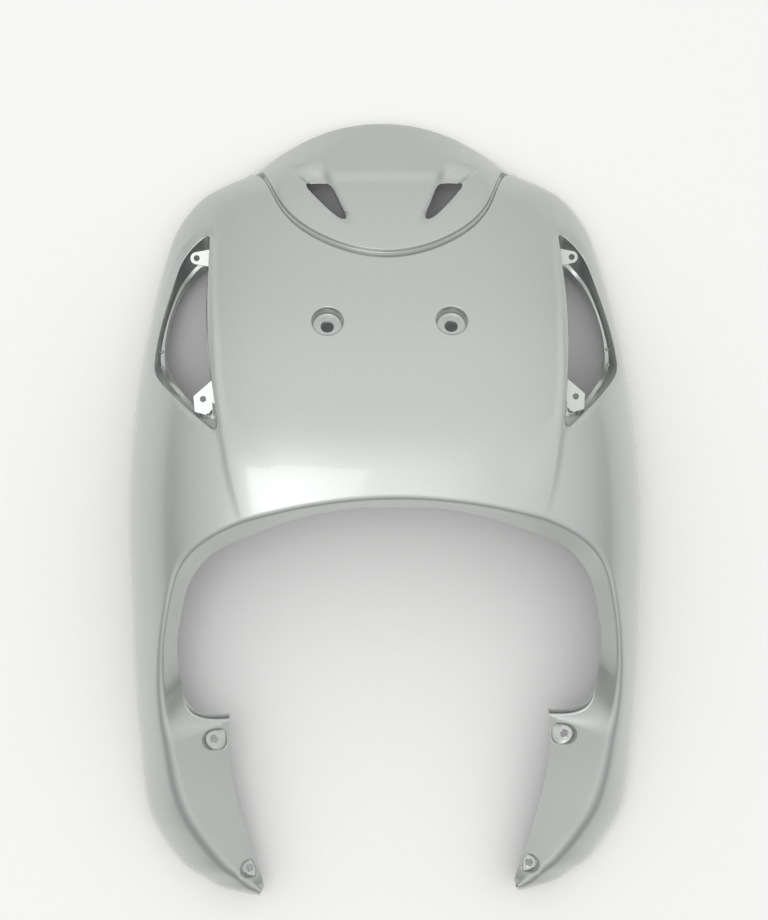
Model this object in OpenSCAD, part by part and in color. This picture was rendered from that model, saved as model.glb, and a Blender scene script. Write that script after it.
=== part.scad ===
// Front nose panel of a scooter: one injection-moulded shell, lying face up on its back rim.
// X is across the panel, Y runs from the leg tips (-) to the dome (+), Z is up, off the table.
// Every length is in millimetres. Outlines are written for the right half and mirrored.

/* [Shell] */
// Nominal wall thickness of the moulding
wall = 2.5; // [2:0.1:4]
// Radius that rolls the outer skin over into the arch flange and the leg plates
roll = 6; // [3:0.5:9]
// Scale on the height of the crown above the belt line
crown_scale = 1.0; // [0.8:0.05:1.2]
// Height of the soft bead that runs from the lamp window down to the arch
bead_height = 1.4; // [0:0.1:3]
// Half width of that bead
bead_half = 5; // [3:0.5:9]

/* [Dome] */
// Depth of the groove that separates the dome from the hood
groove_depth = 3.6; // [2:0.1:6]
// Width of the groove floor at the centre line
groove_width = 5.2; // [3:0.1:8]
// How far the dome stands proud of the hood at the groove
dome_proud = 1.2; // [0:0.1:3]
// Extra bulge of the dome between the groove and its top edge
dome_bulge = 5; // [0:0.5:10]
// Depth of the return lip on the dome's top edge
dome_lip = 5; // [2:0.5:12]
// Depth of the scoop that leads into each vent
scoop_depth = 5; // [0:0.5:9]

/* [Lamp windows] */
// Depth of the wall round each lamp window
pocket_depth = 17; // [8:1:25]
// Thickness of the walls and tabs inside the window
tab_wall = 2.5; // [2:0.1:4]
// Bore of the lamp screw holes
lamp_hole = 4.6; // [3:0.1:6]
// Width of the bevel that frames the outer side of the window
bevel_width = 7; // [3:0.5:10]
// Depth of that bevel at the window's edge
bevel_depth = 1.8; // [0.5:0.1:2.2]

/* [Screw cups] */
// Distance of each cup from the centre line
cup_x = 45; // [35:0.5:60]
// Position of the cups along the panel
cup_y = 136.5; // [120:0.5:150]
// Diameter of the recess
cup_bore = 22.6; // [18:0.2:28]
// Depth of the recess under the skin
cup_depth = 8; // [5:0.5:12]
// Tilt of the cup axis towards the dome
cup_tilt = 26; // [15:1:35]
// Clearance hole in the cup floor
cup_hole = 9; // [5:0.1:12]

/* [Leg plates] */
// Clearance hole of the leg screws
leg_hole = 5.4; // [4:0.1:8]
// Diameter of the screw seat
leg_seat = 16; // [12:0.5:20]
// Depth of the return lip across the top of each leg plate
leg_lip = 7; // [3:0.5:12]

/* [Hidden] */
$fn = 20;

// Crown height along the centre line: [position along the panel, height]
CROWN = [[-294, 40], [-256, 62], [-216, 82], [-156, 107], [-95, 127], [-37, 133], [8, 132], [51, 127],
         [89, 116], [131, 101], [175, 80], [222, 54], [254, 33], [294, 3]];
// Height of the belt line, where the side is widest
BELT = [[-294, 16], [-280, 8], [-256, 4], [-216, 6], [-134, 18], [-64, 26], [6, 24], [89, 18],
        [175, 12], [254, 11], [294, 8]];
// Half width at the belt line
WIDE = [[-294, 98], [-291, 114], [-287, 129], [-281, 140], [-274, 152], [-265, 161], [-249, 172],
        [-234, 180], [-218, 184], [-186, 187], [-146, 190], [-68, 192.5], [-1, 194], [43, 192], [89, 187],
        [134, 179], [165, 172], [196, 163], [212, 156.5], [227, 146], [242, 128], [249, 113], [255, 98]];
// How square the cross section is: [position, power of the width, power of the height]
SQUARE = [[-294, 3.2, 2], [-216, 3.6, 2], [0, 3.8, 2], [89, 3.6, 2], [175, 3.0, 1.8], [222, 2.4, 1.5],
          [254, 2.0, 1.3]];
// Height of the back rim the panel rests on
RIM = [[-294, 9], [-275, 3], [-250, 0.3], [-200, 1], [-80, 3], [100, 2.5], [200, 0.3], [235, 1], [256, 3]];
// Line of the bead beside the lamp and down to the arch: [position, half distance]
BEAD = [[-10, 105], [22, 114], [64, 121], [93, 125], [123, 127], [153, 129], [213, 130], [240, 131]];

// Stations round the half panel: [station, arch ridge, mid skin, outer line, free edge of the flange]
STATIONS = [
    [0,    [0, 8],        [0, 96],      [0, 184],     [0, 2, 112]],
    [1,    [31, 6.5],     [38, 100],    [45, 195],    [30, 1.5, 112]],
    [2,    [66, 2],       [74, 110],    [78, 223],    [62, -4, 111]],
    [3,    [90, -3],      [103, 115],   [97, 254],    [85, -10.5, 109]],
    [4,    [108, -7.5],   [126, 100],   [130, 240],   [104, -18, 106]],
    [5,    [128, -16.5],  [150, 95],    [156, 213],   [124, -27, 100]],
    [6,    [145, -29],    [168, 70],    [175, 154],   [138, -39, 92]],
    [7,    [155, -44],    [178, 30],    [187, 88],    [148, -56, 83]],
    [8,    [161, -65],    [182, -20],   [193, 20],    [153, -76, 76]],
    [9,    [166, -95],    [183, -75],   [193, -50],   [156.5, -97, 69]],
    [10,   [168, -130],   [183, -125],  [191, -110],  [155, -122, 63]],
    [11,   [166, -158],   [181, -157],  [190, -148],  [143, -149, 60]],
    [12,   [163.5, -172], [179, -174],  [188, -170],  [119.5, -152, 53]],
    [13,   [157, -204],   [174, -209],  [186, -205],  [118.5, -195, 45]],
    [14,   [142, -240],   [160, -248],  [175, -245],  [109, -238, 37]],
    [15,   [118, -270],   [130, -279],  [145, -279],  [99, -270, 31]],
    [16,   [97, -287.5],  [98.5, -291], [98.5, -294], [94.5, -285, 28]]
];
LAST = 16;
CORNER = 3;
// Top edge of the dome, from the middle to the corner, at the same stations
DOME_TOP = [[0, [0, 294]], [1, [38, 288.5]], [2, [73, 272.5]], [3, [97, 254.5]]];

// Lamp window: [edge of the window in the skin, edge of the opening at the foot of the wall]
WINDOW = [
    [[132, 205],   [133, 181]],
    [[132, 177],   [133, 170]],
    [[133, 154],   [134, 150]],
    [[131.5, 118], [133, 118]],
    [[128.5, 92],  [130, 96]],
    [[125, 68],    [130, 80]],
    [[125, 57],    [132, 77]],
    [[133, 63],    [139, 78]],
    [[148, 76],    [148, 84]],
    [[164, 91],    [157, 95]],
    [[172, 101],   [163, 104]],
    [[172, 113],   [165, 116]],
    [[168.5, 134], [163, 134]],
    [[163, 153],   [158, 151]],
    [[157, 172],   [151, 165]],
    [[153, 184],   [145, 172]],
    [[147, 193],   [140, 178]],
    [[139, 200],   [136, 180.5]]
];
// Vent outline in the dome, seen from above
VENT = [[59, 243], [57, 244.5], [44, 244.5], [40, 241.5], [37, 235], [34, 227], [30.5, 219], [29.5, 216.5],
        [31, 215], [35, 216.5], [41, 221.5], [48, 229], [55.5, 238]];

// Curve helpers
function clamp(v, a, b) = max(a, min(b, v));
function soft(v) = let (u = clamp(v, 0, 1)) u * u * (3 - 2 * u);
function unit(v) = v / max(norm(v), 1e-6);
function find(k, t, i = 0) = i >= len(k) - 2 || t < k[i + 1][0] ? i : find(k, t, i + 1);
// At the centre line the mirrored outlines run straight across
function across(v) = is_list(v) ? [for (i = [0 : len(v) - 1]) i == 0 ? v[0] : 0] : v;
function slope_at(k, i, c) =
    i == 0 ? across((k[1][c] - k[0][c]) / (k[1][0] - k[0][0])) :
    i == len(k) - 1 ? (k[i][c] - k[i - 1][c]) / (k[i][0] - k[i - 1][0]) :
    let (a = k[i][0] - k[i - 1][0], b = k[i + 1][0] - k[i][0])
    ((k[i][c] - k[i - 1][c]) / a * b + (k[i + 1][c] - k[i][c]) / b * a) / (a + b);
// Smooth curve through the knots of column c
function curve(k, x, c = 1) =
    let (t = clamp(x, k[0][0], k[len(k) - 1][0]),
         i = find(k, t),
         h = k[i + 1][0] - k[i][0],
         u = (t - k[i][0]) / h)
    (1 + 2 * u) * (1 - u) * (1 - u) * k[i][c] + u * (1 - u) * (1 - u) * h * slope_at(k, i, c)
    + u * u * (3 - 2 * u) * k[i + 1][c] + u * u * (u - 1) * h * slope_at(k, i + 1, c);
// Straight lines through the knots
function straight(k, x, c = 1) =
    let (t = clamp(x, k[0][0], k[len(k) - 1][0]),
         i = find(k, t),
         u = (t - k[i][0]) / (k[i + 1][0] - k[i][0]))
    k[i][c] * (1 - u) + k[i + 1][c] * u;

// The skin
function bead(x, y) =
    let (d = (abs(x) - curve(BEAD, y)) / bead_half)
    abs(d) > 1 ? 0 :
    bead_height * clamp((y + 12) / 45, 0, 1) * clamp((236 - y) / 40, 0, 1) * pow(cos(90 * d), 2);
function base_height(x, y) =
    let (b = curve(BELT, y), h = b + (curve(CROWN, y) - b) * crown_scale,
         w = curve(WIDE, y), p = curve(SQUARE, y, 1), q = curve(SQUARE, y, 2), u = min(1, abs(x) / w))
    b + (h - b) * pow(max(0, 1 - pow(u, p)), 1 / q);
function skin_height(x, y) = base_height(x, y) + bead(x, y);

function st_ridge(s) = curve(STATIONS, s, 1);
function st_mid(s) = curve(STATIONS, s, 2);
function st_edge(s) = s > 10 && s < 13 ? straight(EDGE_TURN, s) : curve(STATIONS, s, 4);
// The free edge turns square corners beside the leg plate
EDGE_TURN = [[10, [155, -122, 63]], [10.4, [153, -135, 61.5]], [10.7, [149, -143, 61]],
             [11, [143, -148.5, 60]], [11.4, [134, -151.5, 57.5]], [12, [119.5, -152, 53]],
             [12.15, [119.5, -158, 52]], [13, [118.5, -195, 45]]];
function st_outer(s) = let (b = curve(STATIONS, s, 3)) s <= CORNER ? b : [curve(WIDE, b[1]), b[1]];
function on_skin(v) = [v[0], v[1], skin_height(v[0], v[1])];
function along(r, m, b, g) = r * (1 - g) * (1 - 2 * g) + m * 4 * g * (1 - g) + b * g * (2 * g - 1);

skin_cols = 9;
roll_cols = 3;
flange_cols = 2;
// One section of the shell, from the rim (or the groove floor) over the skin to the free edge
function section(s) =
    let (r = st_ridge(s), m = st_mid(s), b = st_outer(s), e = st_edge(s),
         side = clamp((s - 2) / 2, 0, 1),
         e0 = clamp(roll / max(norm(b - r), 1), 0.02, 0.4),
         k = on_skin(r), f = k + (e - k) * min(0.5, roll / norm(e - k)),
         p0 = on_skin(along(r, m, b, e0)))
    concat(
        s <= CORNER ? groove(s) : rim(b, s),
        [for (i = [0 : skin_cols]) let (t = 1 - i / skin_cols, a = t * (1 - side) + sin(90 * t) * side)
            on_skin(along(r, m, b, e0 + (1 - e0) * a))],
        [for (i = [1 : roll_cols]) let (t = i / roll_cols)
            p0 * (1 - t) * (1 - t) + k * 2 * t * (1 - t) + f * t * t],
        [for (i = [1 : flange_cols]) f + (e - f) * i / flange_cols]
    );
// Direction from the groove into the dome
function inward(s) = unit(straight(DOME_TOP, s) - st_outer(s) + [0, 0.01]);
function taper(s) = clamp(norm(straight(DOME_TOP, s) - st_outer(s)) / 45, 0.03, 1);
function at_groove(s, d, z) =
    let (v = st_outer(s) + inward(s) * d * taper(s))
    [v[0], v[1], base_height(v[0], v[1]) + z];
function groove_drop(s) = groove_depth * (0.45 + 0.55 * taper(s));
function groove(s) =
    let (drop = groove_drop(s))
    [at_groove(s, groove_width + 4.5, -drop),
     at_groove(s, groove_width / 2, -drop),
     at_groove(s, 0.9, -drop + 0.4)];
// The rim under the belt line leans in towards its foot
rim_lean = 2.5;
function rim(b, s) =
    let (top = curve(BELT, b[1]), foot = curve(RIM, b[1]), n = unit(b - st_mid(s)) * rim_lean)
    [for (t = [1, 0.66, 0.33]) [b[0] - n[0] * t * t, b[1] - n[1] * t * t, top + (foot - top) * t]];

// Thick sheets
function flip(p) = [-p[0], p[1], p[2]];
function normal_at(g, i, j) =
    let (m = len(g) - 1, n = len(g[0]) - 1)
    unit(cross(g[min(m, i + 1)][j] - g[max(0, i - 1)][j], g[i][min(n, j + 1)] - g[i][max(0, j - 1)]));
// The two triangles of the cell whose corners are a, b along one side and c, d along the other
function cell(a, b, c, d) = [[a, c, d], [a, d, b]];
module sheet(g, t, side = 1) {
    m = len(g);
    n = len(g[0]);
    o = m * n;
    top = [for (i = [0 : m - 1]) for (j = [0 : n - 1]) g[i][j]];
    low = [for (i = [0 : m - 1]) for (j = [0 : n - 1]) g[i][j] - side * t * normal_at(g, i, j)];
    function id(i, j) = i * n + j;
    up = [for (i = [0 : m - 2]) for (j = [0 : n - 2])
        each cell(id(i, j), id(i, j + 1), id(i + 1, j), id(i + 1, j + 1))];
    down = [for (f = up) [f[2] + o, f[1] + o, f[0] + o]];
    ring = concat(
        [for (j = [0 : n - 2]) [id(0, j), id(0, j + 1)]],
        [for (i = [0 : m - 2]) [id(i, n - 1), id(i + 1, n - 1)]],
        [for (j = [n - 1 : -1 : 1]) [id(m - 1, j), id(m - 1, j - 1)]],
        [for (i = [m - 1 : -1 : 1]) [id(i, 0), id(i - 1, 0)]]);
    edge = [for (r = ring) each [[r[0], r[1], r[1] + o], [r[0], r[1] + o, r[0] + o]]];
    all = concat(up, down, edge);
    turned = [for (f = all) [f[2], f[1], f[0]]];
    polyhedron(points = concat(top, low), faces = side < 0 ? all : turned, convexity = 12);
}

// Stations of the rows, closer together where the outline turns
half_rows = [0, 0.6, 1.2, 1.8, 2.4, 2.75, 3, 3.25, 3.65, 3.88, 4.02, 4.2, 4.55, 4.95, 5.3, 5.65, 6, 6.35,
             6.75, 7.2, 7.8, 8.5, 9.3, 10, 10.5, 11, 11.5, 12, 12.15, 12.8, 13.5, 14, 14.4, 14.75, 15.1,
             15.4, 15.7, 16];
function both(rows) = concat([for (i = [len(rows) - 1 : -1 : 1]) -rows[i]], rows);
module skin() {
    rows = both(half_rows);
    sheet([for (s = rows) s < 0 ? [for (p = section(-s)) flip(p)] : section(s)], wall, -1);
}

// The dome
dome_cols = 13;
// Line of the brow above each vent, and the line where the scoop meets the full height below it
BROW = [[33, 268], [49, 266], [63, 262], [70, 261], [76, 257]];
SILL = [[58, 243], [63, 247], [72, 254], [76, 257]];
// Foot of the ridge between the scoops: [position, half distance]
NASAL = [[204, 23], [226, 28], [234, 32], [247, 37], [268, 44]];
// Scoop that falls from the brow into the vent, and along the inner side of the vent
function scoop(x, y) =
    let (a = abs(x), brow_y = curve(BROW, a), inner = curve(NASAL, y),
         fall = soft((brow_y - y) / 20), side = soft((a - inner) / 9),
         past = a > 58 ? clamp((y - straight(SILL, a)) / 3, 0, 1) :
                         clamp((60 - a - (243 - y) * 1.02) / 3 + 0.6, 0, 1))
    y < 204 || a > 76 ? 0 : scoop_depth * fall * side * past * clamp((y - 204) / 16, 0, 1);
// The plateau between the brows stands a little proud
brow_proud = 1.6;
function brow(x, y) = brow_proud * clamp((52 - abs(x)) / 10, 0, 1) * clamp((y - 245) / 12, 0, 1);
function dome_point(s, w) =
    let (a = at_groove(s, groove_width + 1.8, dome_proud * taper(s)), b = curve_top(s),
         v = [a[0] + (b[0] - a[0]) * w, a[1] + (b[1] - a[1]) * w],
         z = a[2] + (b[2] - a[2]) * w + dome_bulge * taper(s) * 4 * w * (1 - w))
    [v[0], v[1], z - scoop(v[0], v[1]) + brow(v[0], v[1]) * taper(s)];
function curve_top(s) = let (t = curve(DOME_TOP, s)) [t[0], t[1], 6 + 5 * pow(s / CORNER, 2)];
function dome_section(s) = let (c = taper(s), e = curve_top(s)) concat(
    [at_groove(s, groove_width - 1.2, 0.3 - groove_drop(s)), at_groove(s, groove_width + 0.2, -0.3)],
    [for (i = [0 : dome_cols]) dome_point(s, i / dome_cols)],
    [[e[0] * 0.996, e[1] - 1.2 * c, e[2] - dome_lip * (0.3 + 0.7 * c)]]);
module dome() {
    rows = both(concat([for (s = [0 : 0.25 : 2.75]) s], [2.96]));
    sheet([for (s = rows) s < 0 ? [for (p = dome_section(-s)) flip(p)] : dome_section(s)], wall, 1);
}

// Lamp windows
// Closed body between stacked rings of equal length, lowest ring first
module stack(rings) {
    n = len(rings[0]);
    m = len(rings);
    function id(r, i) = r * n + (i % n);
    sides = [for (r = [0 : m - 2]) for (i = [0 : n - 1])
        each cell(id(r, i), id(r, i + 1), id(r + 1, i), id(r + 1, i + 1))];
    floor = [for (i = [0 : n - 1]) id(0, i)];
    top = [for (i = [n - 1 : -1 : 0]) id(m - 1, i)];
    polyhedron(points = [for (r = rings) each r], convexity = 8, faces = concat([floor], [top], sides));
}
// Rings of the lamp pocket: level 0 is the skin, 1 the foot of the wall; grow widens the ring
function outward(i, c) =
    let (n = len(WINDOW), d = unit(WINDOW[(i + 1) % n][c] - WINDOW[(i + n - 1) % n][c]))
    [d[1], -d[0]];
function window_ring(level, grow, lift) = [for (i = [0 : len(WINDOW) - 1])
    let (w = WINDOW[i], k = level < 0.5 ? level * 1.3 : 0.3 + level * 0.7,
         v = w[0] * (1 - k) + w[1] * k + (outward(i, 0) * (1 - k) + outward(i, 1) * k) * grow,
         h = grow > 0 && level == 0 ? skin_height(v[0], v[1]) : skin_height(w[0][0], w[0][1]))
    [v[0], v[1], h - level * pocket_depth + lift]];
module window_body() stack([
    window_ring(1, tab_wall, 0), window_ring(0.5, tab_wall, 0), window_ring(0, tab_wall, -2.3)]);
module window_hollow() stack([
    window_ring(1.5, 0, 0), window_ring(0.5, 0, 0), window_ring(-0.12, 0, 0), window_ring(-0.12, 0, 30)]);
// Chamfer along the outer and lower sides of the window: its width at each point, as a share
BEVEL = [0.1, -0.08, -0.08, -0.08, -0.08, -0.08, 0.3, 0.5, 0.55, 0.6, 0.75, 0.9, 1, 1, 1, 1, 1, 0.8];
function bevel_ring(k, lift) = [for (i = [0 : len(WINDOW) - 1])
    let (v = WINDOW[i][0] + outward(i, 0) * bevel_width * BEVEL[i] * k)
    [v[0], v[1], skin_height(v[0], v[1]) + lift]];
module window_bevel() stack([
    window_ring(bevel_depth / pocket_depth * 1.3, -1, 0), bevel_ring(1, 0.2), bevel_ring(1.5, 45)]);
// Screw holes of the upper and lower tabs
upper_tab = [141, 188, 39];
lower_tab = [135, 81, 93];
UPPER_TAB = [[141, 183.4], [141, 192.6], [131, 194.5], [131, 181.5]];
LOWER_TAB = [[142.5, 83.5], [128, 96], [123.5, 90], [122, 72], [132, 66.5], [141.5, 74]];
TAB_RIB = [[131, 66], [136, 70], [133, 73], [128, 70]];
module lamp_tabs() {
    // upper tab, rounded at its free end
    translate([0, 0, upper_tab[2]]) linear_extrude(tab_wall) union() {
        translate([upper_tab[0], upper_tab[1]]) circle(4.6);
        polygon(UPPER_TAB);
    }
    // lower tab, and the small rib under it
    translate([0, 0, lower_tab[2]]) linear_extrude(tab_wall) polygon(LOWER_TAB);
    translate([0, 0, lower_tab[2] - 5]) linear_extrude(6) polygon(TAB_RIB);
}

// Screw cups
cup_z = skin_height(cup_x, cup_y);
module at_cup() translate([cup_x, cup_y, cup_z]) rotate([-cup_tilt, 0, 0]) children();
cup_r = cup_bore / 2;
module cup_body() at_cup() rotate_extrude() polygon([
    [0, -cup_depth - wall], [cup_r - 1, -cup_depth - wall],
    [cup_r + wall - 0.6, -cup_depth], [cup_r + wall, -1.2], [0, -1.2]]);
module cup_recess() at_cup() rotate_extrude() polygon([
    [0, -cup_depth], [cup_r - 1.4, -cup_depth], [cup_r - 0.5, 1 - cup_depth],
    [cup_r, -1], [cup_r + 1.2, 0.6], [cup_r + 2.4, 6], [0, 6]]);

// Leg plates
upper_leg = [131, -170, 50.5];
lower_leg = [106, -270, 32.5];
// Radius of each seat
upper_seat = leg_seat / 2;
lower_seat = leg_seat / 2 - 1.5;
// Slope of each plate across and along the panel, and its height over the seat
upper_slope = [0.45, 0.12, 5];
lower_slope = [0.6, 0.15, 3];
// Outline of a seat, longer towards the plate's free edge; a tilted one follows the plate
function seat_ring(p, slope, r, lift, tilted) = [for (a = [0 : 20 : 340])
    let (x = r * cos(a) * (cos(a) < 0 ? 1.25 : 1),
         y = r * sin(a),
         z = tilted ? slope[2] + x * slope[0] + y * slope[1] : 0)
    [p[0] + x, p[1] + y, p[2] + lift + z]];
module leg_seat_body(p, slope, r) stack([
    seat_ring(p, slope, r - 1, -wall, false), seat_ring(p, slope, r + 1.6, -1, true)]);
module leg_seat_cut(p, slope, r) stack([
    seat_ring(p, slope, r - 2.6, 0, false), seat_ring(p, slope, r, 0, true),
    seat_ring(p, slope, r + 0.5, 25, true)]);
// Return lip that turns down across the top of each plate
LIP = [[149, -144, 61], [143, -149.2, 60], [134, -152.2, 57.5], [127, -152.9, 55.2], [121.3, -152.9, 53.3]];
module leg_top_lip() sheet([for (p = LIP) [p - [0, 0, 0.7], p - [0, 0, leg_lip]]], 2, 1);

// Assembly of the one moulding
module pair() {
    children();
    mirror([1, 0, 0]) children();
}
module shell_with_openings() difference() {
    union() {
        difference() {
            union() {
                skin();
                dome();
                pair() window_body();
            }
            pair() window_hollow();
            pair() window_bevel();
        }
        pair() lamp_tabs();
        pair() cup_body();
        pair() leg_seat_body(upper_leg, upper_slope, upper_seat);
        pair() leg_seat_body(lower_leg, lower_slope, lower_seat);
        pair() leg_top_lip();
    }
    pair() cup_recess();
    pair() translate([0, 0, -5]) linear_extrude(120) polygon(VENT);
    pair() leg_seat_cut(upper_leg, upper_slope, upper_seat);
    pair() leg_seat_cut(lower_leg, lower_slope, lower_seat);
}
// A screw hole through a wall that stands on p
module screw_hole(p, d, t) translate(p - [0, 0, 1]) cylinder(d = d, h = t + 2);
module nose_panel() color([0.72, 0.74, 0.72]) difference() {
    resize([0, 0, 0]) shell_with_openings();
    pair() at_cup() screw_hole([0, 0, -cup_depth - wall], cup_hole, wall);
    pair() screw_hole(upper_tab, lamp_hole, tab_wall);
    pair() screw_hole(lower_tab, lamp_hole, tab_wall);
    pair() screw_hole(upper_leg - [0, 0, wall], leg_hole, wall);
    pair() screw_hole(lower_leg - [0, 0, wall], leg_hole, wall);
}

nose_panel();
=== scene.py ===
# %% [markdown]
# # A silver scooter nose panel
# The panel is one injection-moulded shell, painted silver and lying face up on a pale table.
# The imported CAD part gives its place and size. This lesson rebuilds the same surfaces densely,
# so that the lacquer reflects cleanly, then paints and lights them.

# %% Load the frame
import bpy
import math
import numpy as np
from mathutils import Matrix, Vector
from mathutils.geometry import delaunay_2d_cdt


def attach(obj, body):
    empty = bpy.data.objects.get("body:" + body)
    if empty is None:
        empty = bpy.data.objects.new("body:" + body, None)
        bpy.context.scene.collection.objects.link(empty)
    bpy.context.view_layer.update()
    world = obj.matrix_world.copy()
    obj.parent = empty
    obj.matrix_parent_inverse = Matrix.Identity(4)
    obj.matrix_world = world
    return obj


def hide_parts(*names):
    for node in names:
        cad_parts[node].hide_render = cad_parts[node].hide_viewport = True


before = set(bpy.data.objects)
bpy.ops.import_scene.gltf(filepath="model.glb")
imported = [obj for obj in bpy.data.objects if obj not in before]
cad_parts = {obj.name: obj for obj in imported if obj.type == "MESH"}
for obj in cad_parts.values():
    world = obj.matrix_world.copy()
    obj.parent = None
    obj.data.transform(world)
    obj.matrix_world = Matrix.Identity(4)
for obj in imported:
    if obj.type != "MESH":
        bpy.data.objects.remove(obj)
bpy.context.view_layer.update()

# %% [markdown]
# ## The driving sizes
# All sizes are millimetres in the part's own frame: X across, Y from the leg tips to the dome, Z up
# from the table. The right half is written down, and the left half mirrors it, as the mould does.
# These few sizes serve the whole panel, and the others stand where they are first used.

# %% Sizes that the whole panel shares
MM = 0.001
WALL = 2.5
ROLL = 4.6
# the station where the dome meets the rim
CORNER = 3.0
print("wall %.1f mm, rolled edge %.1f mm" % (WALL, ROLL))

# %% [markdown]
# ## Smooth curves
# Lacquer shows every kink of the surface under it. Straight or subdivided profiles would leave
# bands in the reflections, so the curves here are natural cubic splines, whose curvature is
# continuous. A mirrored spline is even about the middle of the panel, so the two halves meet
# without a seam.

# %% Curve helpers
def spline(knots, mirrored=False):
    """A natural cubic spline through (position, value); a mirrored one is even about 0, x being odd."""
    xs = np.array([k[0] for k in knots], float)
    vs = np.array([np.atleast_1d(k[1]) for k in knots], float)
    if mirrored:
        flip = np.ones(vs.shape[1])
        flip[0] = -1
        xs = np.concatenate([-xs[:0:-1], xs])
        vs = np.concatenate([vs[:0:-1] * flip, vs])
    n, h = len(xs), np.diff(xs)
    a, r = np.eye(n), np.zeros_like(vs)
    for i in range(1, n - 1):
        a[i, i - 1:i + 2] = h[i - 1], 2 * (h[i - 1] + h[i]), h[i]
        r[i] = 6 * ((vs[i + 1] - vs[i]) / h[i] - (vs[i] - vs[i - 1]) / h[i - 1])
    m = np.linalg.solve(a, r)

    def at(t):
        t = np.clip(np.asarray(t, float), xs[0], xs[-1])
        i = np.clip(np.searchsorted(xs, t, side="right") - 1, 0, n - 2)
        u, w, g = (t - xs[i])[..., None], (xs[i + 1] - t)[..., None], h[i][..., None]
        v = (m[i] * w ** 3 + m[i + 1] * u ** 3) / (6 * g) + (vs[i] / g - m[i] * g / 6) * w \
            + (vs[i + 1] / g - m[i + 1] * g / 6) * u
        return v[..., 0] if vs.shape[1] == 1 else v
    return at


def smooth(t):
    t = np.clip(t, 0, 1)
    return t * t * (3 - 2 * t)


def unit(v):
    return v / np.maximum(np.linalg.norm(v, axis=-1, keepdims=True), 1e-9)


print("a spline through 0, 1 and 4, halfway between the last two:", spline([(0, 0), (1, 1), (2, 4)])(1.5))

# %% [markdown]
# ## The skin as a height over the table
# The real panel is one broad shield that bends down to a belt line at its sides. It could be
# sculpted or patched from surfaces, but a height formula gives an exact slope anywhere, which the
# cut edges need later. Across the panel the section is a squared-off ellipse from the crown down to
# the belt line. A soft bead runs beside each lamp window down to the arch.

# %% The skin's height
BEAD_HEIGHT, BEAD_HALF = 1.4, 5.0
# below this y the bead's inner side flares out towards the arch, by up to this much
FLARE_Y, FLARE = 72, 30
CROWN = [(-294, 40), (-256, 62), (-216, 82), (-156, 107), (-95, 127), (-37, 133), (8, 131.75), (51, 127),
         (89, 116), (131, 101), (175, 80), (222, 54), (254, 33), (294, 3)]
BELT = [(-294, 16), (-280, 8), (-256, 4), (-216, 6), (-134, 18), (-64, 26), (6, 24), (89, 18),
        (175, 12), (254, 11), (294, 8)]
WIDE = [(-294, 98), (-291, 114), (-287, 129), (-281, 140), (-274, 152), (-265, 161), (-249, 172),
        (-234, 180), (-218, 184), (-186, 187), (-146, 190), (-68, 192.5), (-1, 194), (43, 192), (89, 187),
        (134, 179), (165, 172), (196, 163), (212, 156.5), (227, 146), (242, 128), (249, 113), (255, 98)]
SQUARE = [(-294, 3.2, 2), (-216, 3.6, 2), (0, 3.8, 2), (89, 3.6, 2), (175, 3.0, 1.8), (222, 2.4, 1.5),
          (254, 2.0, 1.3)]
BEAD = [(-10, 105), (22, 114), (64, 121), (93, 125), (123, 127), (153, 129), (213, 130), (240, 131)]
crown, belt = spline(CROWN), spline(BELT)
wide, bead_x = spline(WIDE), spline(BEAD)
square_p = spline([k[:2] for k in SQUARE])
square_q = spline([(k[0], k[2]) for k in SQUARE])


def base_height(x, y):
    b = belt(y)
    u = np.minimum(1, np.abs(x) / wide(y))
    return b + (crown(y) - b) * np.maximum(0, 1 - u ** square_p(y)) ** (1 / square_q(y))


def bead(x, y):
    d = np.abs(x) - bead_x(y)
    inner = BEAD_HALF + FLARE * smooth((FLARE_Y - y) / 40)
    d = np.clip(d / np.where(d < 0, inner, BEAD_HALF), -1, 1)
    fade = np.clip((y + 12) / 45, 0, 1) * np.clip((236 - y) / 40, 0, 1)
    return BEAD_HEIGHT * fade * np.cos(math.pi / 2 * d) ** 2


print("highest point of the crown: %.1f mm" % crown(np.linspace(-294, 294, 99)).max())

# %% [markdown]
# ## Outlines in plan
# The windows, vents and seats are outlines with soft corners, as a moulding tool leaves them.
# Corner cutting rounds them from a few points, and two more helpers say what lies inside an outline
# and how far away it is. They work on whole arrays, because every grid point asks.

# %% Outline helpers
def inside(px, py, loop):
    """Which points lie inside a closed loop."""
    res = np.zeros(px.shape, bool)
    for (x0, y0), (x1, y1) in zip(loop, np.roll(loop, -1, axis=0)):
        if y0 == y1:
            continue
        cross = (y0 > py) != (y1 > py)
        res ^= cross & (px < (x1 - x0) * (py - y0) / (y1 - y0) + x0)
    return res


def distance(px, py, loop):
    """Distance from each point to a closed outline, and the place along it of the nearest point."""
    best, where = np.full(px.shape, 1e9), np.zeros(px.shape)
    for k, (a, b) in enumerate(zip(loop, np.roll(loop, -1, axis=0))):
        d = b - a
        t = np.clip(((px - a[0]) * d[0] + (py - a[1]) * d[1]) / max(d @ d, 1e-9), 0, 1)
        r = np.hypot(px - a[0] - t * d[0], py - a[1] - t * d[1])
        nearer = r < best
        best, where = np.where(nearer, r, best), np.where(nearer, k + t, where)
    return best, where


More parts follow.
